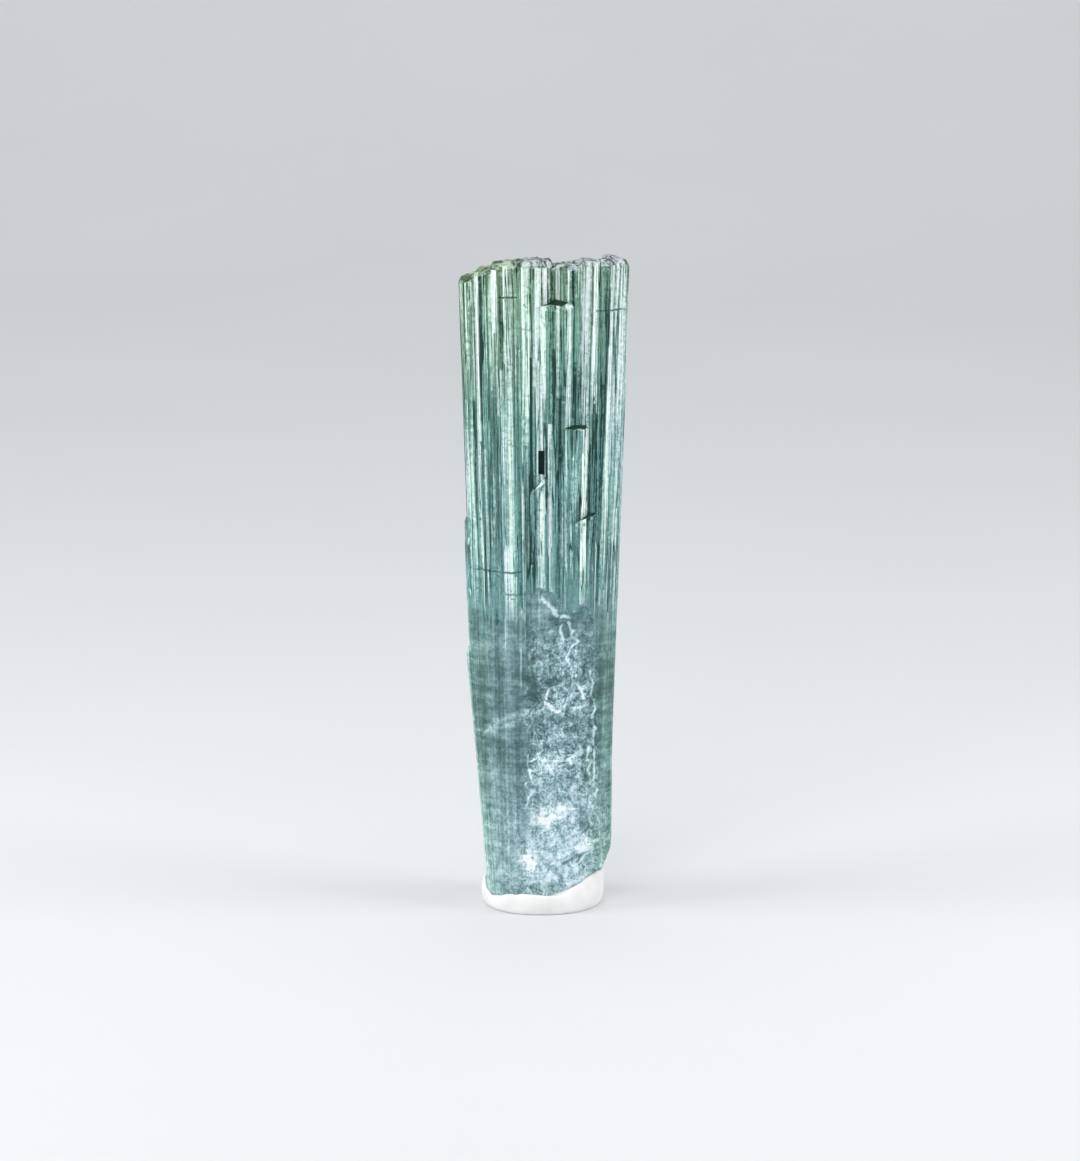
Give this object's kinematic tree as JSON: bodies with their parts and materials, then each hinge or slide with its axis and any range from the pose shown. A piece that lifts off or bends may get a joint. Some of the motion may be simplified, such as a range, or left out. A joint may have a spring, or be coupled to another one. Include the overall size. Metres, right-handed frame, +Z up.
{
  "type": "tourmaline crystal",
  "caption": "Pale green to teal tourmaline crystal, a tall striated bundle of parallel rods with stepped ledges, standing on a pad of white museum putty.",
  "frame": {"origin": "on the surface the pad rests on, under the middle of the specimen's box", "axes": "+Z up along the crystal's length, -Y towards the broad front with the ledges, +X to its right"},
  "size_m": [0.0121, 0.0094, 0.0476],
  "materials": {
    "tourmaline": "gloss",
    "museum_putty": "matte"
  },
  "bodies": {
    "root": {"tourmaline_crystal": "tourmaline", "putty_pad": "museum_putty"}
  },
  "joints": []
}
